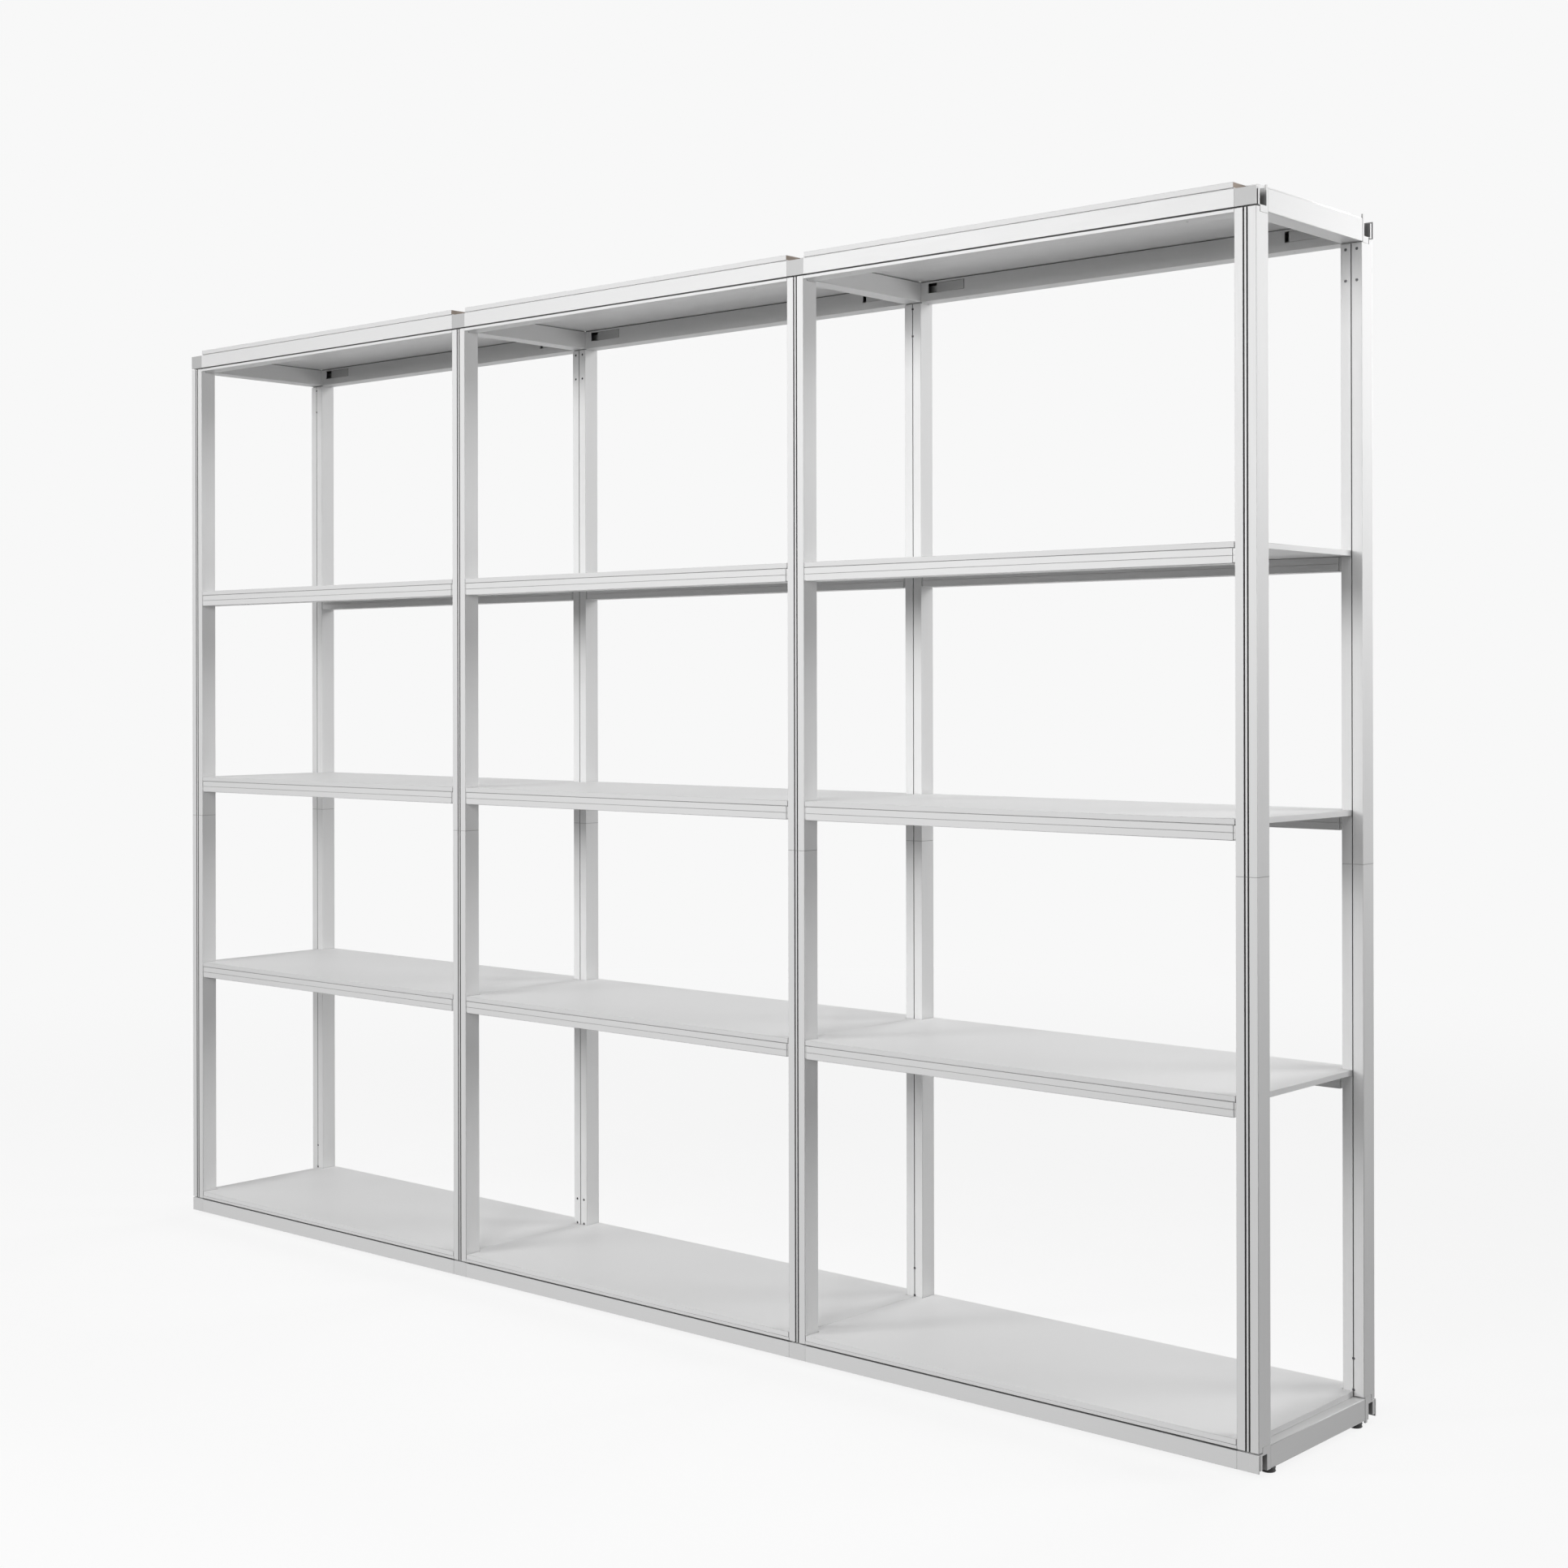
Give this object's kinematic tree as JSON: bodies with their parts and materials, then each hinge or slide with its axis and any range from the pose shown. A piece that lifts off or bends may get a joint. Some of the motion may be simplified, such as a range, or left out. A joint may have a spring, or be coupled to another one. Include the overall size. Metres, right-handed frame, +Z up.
{
  "type": "portable display shelf",
  "caption": "Knock-down display rack of open bays: paired grooved aluminium posts, hooked corner blocks, grooved rails, notched white boards, sliding locks and levelling feet.",
  "frame": {"origin": "on the floor, under the middle of the rack's overall box", "axes": "+Z up, X along the row of bays, the front with the cover plates flush with the posts faces -Y"},
  "size_m": [3.0442, 0.4186, 2.1777],
  "materials": {
    "white_frame": "satin white coat on extruded aluminium",
    "white_board": "white melamine faces over a brown fibreboard core",
    "lock_grey": "satin grey",
    "foot_black": "matt black moulded pad"
  },
  "bodies": {
    "rack_frame": {"front_lower_post_1": "white_frame", "front_lower_post_2": "white_frame", "front_lower_post_3": "white_frame", "front_lower_post_4": "white_frame", "rear_lower_post_1": "white_frame", "rear_lower_post_2": "white_frame", "rear_lower_post_3": "white_frame", "rear_lower_post_4": "white_frame", "front_upper_post_1": "white_frame", "front_upper_post_2": "white_frame", "front_upper_post_3": "white_frame", "front_upper_post_4": "white_frame", "rear_upper_post_1": "white_frame", "rear_upper_post_2": "white_frame", "rear_upper_post_3": "white_frame", "rear_upper_post_4": "white_frame", "bottom_side_rail_1": "white_frame", "bottom_side_rail_2": "white_frame", "bottom_side_rail_3": "white_frame", "bottom_side_rail_4": "white_frame", "top_side_rail_1": "white_frame", "top_side_rail_2": "white_frame", "top_side_rail_3": "white_frame", "top_side_rail_4": "white_frame", "front_top_rail_1": "white_frame", "front_top_rail_2": "white_frame", "front_top_rail_3": "white_frame", "rear_top_rail_1": "white_frame", "rear_top_rail_2": "white_frame", "rear_top_rail_3": "white_frame", "bottom_deck_1": "white_board", "bottom_deck_2": "white_board", "bottom_deck_3": "white_board", "low_shelf_1": "white_board", "low_shelf_2": "white_board", "low_shelf_3": "white_board", "middle_shelf_1": "white_board", "middle_shelf_2": "white_board", "middle_shelf_3": "white_board", "high_shelf_1": "white_board", "high_shelf_2": "white_board", "high_shelf_3": "white_board", "top_board_1": "white_board", "top_board_2": "white_board", "top_board_3": "white_board"},
    "front_foot_1_body": {"front_foot_1": "foot_black"},
    "front_foot_2_body": {"front_foot_2": "foot_black"},
    "front_foot_3_body": {"front_foot_3": "foot_black"},
    "front_foot_4_body": {"front_foot_4": "foot_black"},
    "rear_foot_1_body": {"rear_foot_1": "foot_black"},
    "rear_foot_2_body": {"rear_foot_2": "foot_black"},
    "rear_foot_3_body": {"rear_foot_3": "foot_black"},
    "rear_foot_4_body": {"rear_foot_4": "foot_black"},
    "lock_1_left_body": {"lock_1_left": "lock_grey"},
    "lock_1_right_body": {"lock_1_right": "lock_grey"},
    "lock_2_left_body": {"lock_2_left": "lock_grey"},
    "lock_2_right_body": {"lock_2_right": "lock_grey"},
    "lock_3_left_body": {"lock_3_left": "lock_grey"},
    "lock_3_right_body": {"lock_3_right": "lock_grey"}
  },
  "joints": [
    {"name": "front_foot_1_levelling", "type": "slide", "parent": "rack_frame", "child": "front_foot_1_body", "axis": [0, 0, -1], "range_m": [0, 0.015]},
    {"name": "front_foot_2_levelling", "type": "slide", "parent": "rack_frame", "child": "front_foot_2_body", "axis": [0, 0, -1], "range_m": [0, 0.015]},
    {"name": "front_foot_3_levelling", "type": "slide", "parent": "rack_frame", "child": "front_foot_3_body", "axis": [0, 0, -1], "range_m": [0, 0.015]},
    {"name": "front_foot_4_levelling", "type": "slide", "parent": "rack_frame", "child": "front_foot_4_body", "axis": [0, 0, -1], "range_m": [0, 0.015]},
    {"name": "rear_foot_1_levelling", "type": "slide", "parent": "rack_frame", "child": "rear_foot_1_body", "axis": [0, 0, -1], "range_m": [0, 0.015]},
    {"name": "rear_foot_2_levelling", "type": "slide", "parent": "rack_frame", "child": "rear_foot_2_body", "axis": [0, 0, -1], "range_m": [0, 0.015]},
    {"name": "rear_foot_3_levelling", "type": "slide", "parent": "rack_frame", "child": "rear_foot_3_body", "axis": [0, 0, -1], "range_m": [0, 0.015]},
    {"name": "rear_foot_4_levelling", "type": "slide", "parent": "rack_frame", "child": "rear_foot_4_body", "axis": [0, 0, -1], "range_m": [0, 0.015]},
    {"name": "lock_1_left_slide", "type": "slide", "parent": "rack_frame", "child": "lock_1_left_body", "axis": [-1, 0, 0], "range_m": [0, 0.0207]},
    {"name": "lock_1_right_slide", "type": "slide", "parent": "rack_frame", "child": "lock_1_right_body", "axis": [1, 0, 0], "range_m": [-0.0066, 0.0137]},
    {"name": "lock_2_left_slide", "type": "slide", "parent": "rack_frame", "child": "lock_2_left_body", "axis": [-1, 0, 0], "range_m": [0, 0.0207]},
    {"name": "lock_2_right_slide", "type": "slide", "parent": "rack_frame", "child": "lock_2_right_body", "axis": [1, 0, 0], "range_m": [-0.0066, 0.0137]},
    {"name": "lock_3_left_slide", "type": "slide", "parent": "rack_frame", "child": "lock_3_left_body", "axis": [-1, 0, 0], "range_m": [0, 0.0207]},
    {"name": "lock_3_right_slide", "type": "slide", "parent": "rack_frame", "child": "lock_3_right_body", "axis": [1, 0, 0], "range_m": [-0.0066, 0.0137]}
  ]
}
